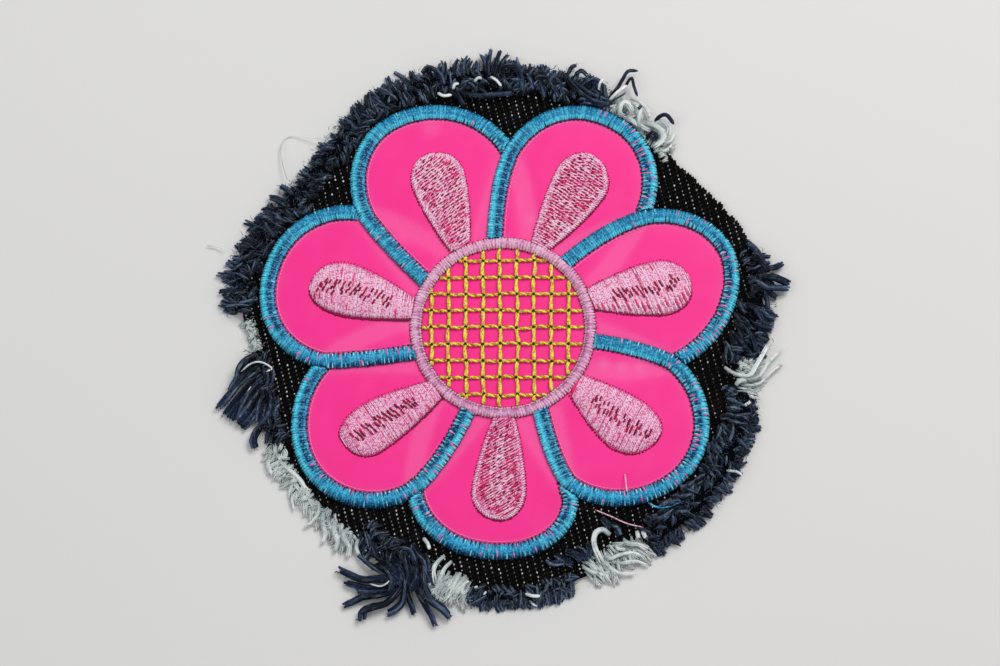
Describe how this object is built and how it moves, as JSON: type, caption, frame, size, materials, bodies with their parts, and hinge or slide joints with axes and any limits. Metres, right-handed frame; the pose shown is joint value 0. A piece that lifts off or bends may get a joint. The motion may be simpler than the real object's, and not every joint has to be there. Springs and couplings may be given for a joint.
{
  "type": "clothing patch",
  "caption": "Round frayed denim patch with a pink vinyl flower, turquoise satin-stitched petals, light pink teardrops and a gold net in its centre.",
  "frame": {"origin": "middle of the centre ring, on the back face of the denim", "axes": "+X to the right and +Y up as the face is seen, +Z out of the face"},
  "size_m": [0.1441, 0.1463, 0.0042],
  "materials": {
    "black_denim": "black cotton twill with small white specks of weft",
    "pink_vinyl": "smooth neon pink vinyl with a soft sheen",
    "turquoise_thread": "shiny satin-stitched turquoise thread",
    "light_pink_thread": "shiny satin-stitched light pink thread",
    "gold_thread": "shiny yellow-gold thread",
    "indigo_yarn": "frayed navy cotton yarn with pale blue fibres",
    "white_yarn": "frayed white cotton yarn"
  },
  "bodies": {
    "root": {"denim_backing": "black_denim", "vinyl_flower": "pink_vinyl", "petal_border_top_left": "turquoise_thread", "petal_border_top_right": "turquoise_thread", "petal_border_right": "turquoise_thread", "petal_border_lower_right": "turquoise_thread", "petal_border_bottom": "turquoise_thread", "petal_border_lower_left": "turquoise_thread", "petal_border_left": "turquoise_thread", "teardrop_top_left": "light_pink_thread", "teardrop_top_right": "light_pink_thread", "teardrop_right": "light_pink_thread", "teardrop_lower_right": "light_pink_thread", "teardrop_bottom": "light_pink_thread", "teardrop_lower_left": "light_pink_thread", "teardrop_left": "light_pink_thread", "centre_ring": "light_pink_thread", "centre_net": "gold_thread", "indigo_roll_top": "indigo_yarn", "indigo_roll_upper_left": "indigo_yarn", "indigo_tuft_left": "indigo_yarn", "indigo_tassel_lower_left": "indigo_yarn", "indigo_fringe_bottom": "indigo_yarn", "indigo_roll_lower_right": "indigo_yarn", "indigo_roll_right": "indigo_yarn", "indigo_tuft_right": "indigo_yarn", "white_fuzz_left": "white_yarn", "white_fuzz_lower_left": "white_yarn", "white_tuft_bottom": "white_yarn", "white_curls_lower_right": "white_yarn", "white_tuft_right": "white_yarn", "white_curls_top_right": "white_yarn"}
  },
  "joints": []
}
